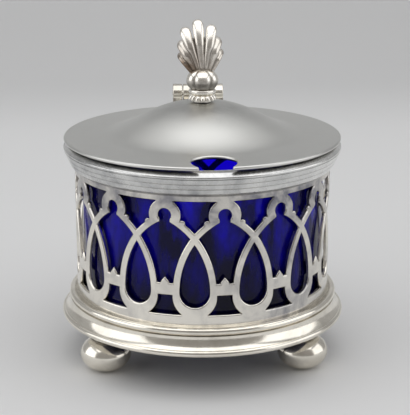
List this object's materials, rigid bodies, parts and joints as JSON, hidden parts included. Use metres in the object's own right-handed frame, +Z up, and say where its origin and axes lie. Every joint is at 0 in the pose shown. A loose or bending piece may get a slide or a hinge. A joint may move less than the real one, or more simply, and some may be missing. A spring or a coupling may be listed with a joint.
{
  "type": "mustard pot",
  "caption": "Silver drum mustard pot with pierced gallery, blue glass liner, ball feet, hinged bell lid with spoon notch and shell finial, and a scroll handle.",
  "frame": {"origin": "on the drum's axis, on the plane that the three ball feet stand on", "axes": "+Z up along the drum's axis; -Y to the front, where the spoon notch is; +Y to the hinge and the handle"},
  "size_m": [0.0608, 0.0809, 0.0734],
  "materials": {
    "polished_silver": "polished silver, tarnished in the grooves",
    "pierced_silver": "hand-polished pierced silver sheet",
    "satin_silver": "worn satin silver with fine scratches",
    "cobalt_glass": "moulded deep cobalt blue glass"
  },
  "bodies": {
    "pot": {"pierced_gallery": "pierced_silver", "top_rim_band": "polished_silver", "base_moulding": "polished_silver", "liner_seat_ring": "polished_silver", "glass_liner": "cobalt_glass", "foot_front_left": "polished_silver", "foot_front_right": "polished_silver", "foot_rear": "polished_silver", "foot_pad_front_left": "polished_silver", "foot_pad_front_right": "polished_silver", "foot_pad_rear": "polished_silver", "hinge_body_leaf": "polished_silver", "hinge_body_knuckle_left": "polished_silver", "hinge_body_knuckle_middle": "polished_silver", "hinge_body_knuckle_right": "polished_silver", "hinge_pin": "polished_silver", "handle": "polished_silver", "handle_upper_plate": "polished_silver", "handle_lower_plate": "polished_silver"},
    "lid": {"lid_cover": "satin_silver", "hinge_lid_leaf": "polished_silver", "hinge_lid_knuckle_left": "polished_silver", "hinge_lid_knuckle_right": "polished_silver", "finial_collar": "polished_silver", "finial_knop": "polished_silver", "finial_shell": "polished_silver"}
  },
  "joints": [
    {"name": "lid_hinge", "type": "hinge", "parent": "pot", "child": "lid", "pos_m": [0, 0.0324, 0.0515], "axis": [-1, 0, 0], "range_deg": [0, 105]}
  ]
}
